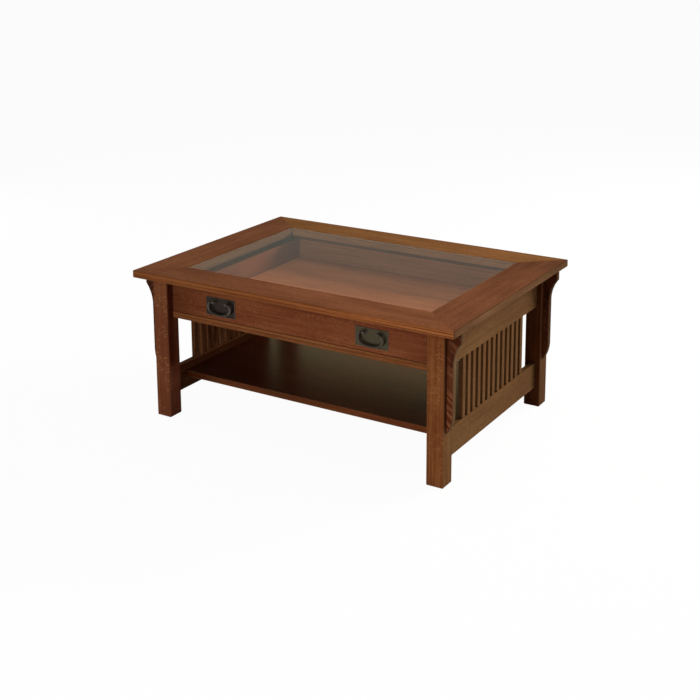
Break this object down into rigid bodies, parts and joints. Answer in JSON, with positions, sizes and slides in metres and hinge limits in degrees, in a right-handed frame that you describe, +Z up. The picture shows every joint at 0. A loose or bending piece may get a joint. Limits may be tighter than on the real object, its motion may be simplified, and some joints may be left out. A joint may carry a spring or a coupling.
{
  "type": "display coffee table",
  "caption": "Low oak display table with a flush glass top over a wide drawer, slatted end panels, long corbels on the legs and a lower shelf.",
  "frame": {"origin": "on the floor, under the middle of the table", "axes": "+X along the long side to the right of someone facing the drawer, +Y from the drawer front to the back, +Z up"},
  "size_m": [1.067, 0.762, 0.457],
  "materials": {
    "oak": "quarter-sawn oak, brown stain under satin lacquer, pale ray fleck",
    "red_oak_stain": "quarter-sawn oak, dark red-brown stain under satin lacquer",
    "inner_oak": "plain-sawn oak, lighter stain, thin lacquer",
    "clear_glass": "clear float glass with polished edges",
    "aged_bronze": "dark patinated bronze, hand-worn along the edges"
  },
  "bodies": {
    "table": {"top_board_front": "oak", "top_board_back": "oak", "top_board_left": "oak", "top_board_right": "oak", "glass_panel": "clear_glass", "leg_front_left": "oak", "corbel_front_left": "oak", "leg_front_right": "oak", "corbel_front_right": "oak", "leg_back_left": "oak", "corbel_back_left": "oak", "leg_back_right": "oak", "corbel_back_right": "oak", "side_rail_upper_left": "oak", "side_rail_lower_left": "oak", "slat_left_01": "oak", "slat_left_02": "oak", "slat_left_03": "oak", "slat_left_04": "oak", "slat_left_05": "oak", "slat_left_06": "oak", "slat_left_07": "oak", "slat_left_08": "oak", "slat_left_09": "oak", "slat_left_10": "oak", "slat_left_11": "oak", "slat_left_12": "oak", "slat_left_13": "oak", "side_rail_upper_right": "oak", "side_rail_lower_right": "oak", "slat_right_01": "oak", "slat_right_02": "oak", "slat_right_03": "oak", "slat_right_04": "oak", "slat_right_05": "oak", "slat_right_06": "oak", "slat_right_07": "oak", "slat_right_08": "oak", "slat_right_09": "oak", "slat_right_10": "oak", "slat_right_11": "oak", "slat_right_12": "oak", "slat_right_13": "oak", "shelf": "oak", "front_rail": "oak", "back_apron": "oak", "drawer_runner_left": "inner_oak", "top_cleat_left": "inner_oak", "drawer_runner_right": "inner_oak", "top_cleat_right": "inner_oak"},
    "drawer": {"drawer_front": "red_oak_stain", "drawer_side_left": "inner_oak", "drawer_side_right": "inner_oak", "drawer_back": "inner_oak", "drawer_bottom": "inner_oak", "pull_plate_left": "aged_bronze", "pull_plate_right": "aged_bronze"},
    "pull_left": {"pull_bail_left": "aged_bronze"},
    "pull_right": {"pull_bail_right": "aged_bronze"}
  },
  "joints": [
    {"name": "drawer_slide", "type": "slide", "parent": "table", "child": "drawer", "axis": [0, -1, 0], "range_m": [0, 0.42]},
    {"name": "bail_hinge_left", "type": "hinge", "parent": "drawer", "child": "pull_left", "pos_m": [-0.255, -0.32885, 0.385], "axis": [-1, 0, 0], "range_deg": [-3, 175]},
    {"name": "bail_hinge_right", "type": "hinge", "parent": "drawer", "child": "pull_right", "pos_m": [0.255, -0.32885, 0.385], "axis": [-1, 0, 0], "range_deg": [-3, 175]}
  ]
}
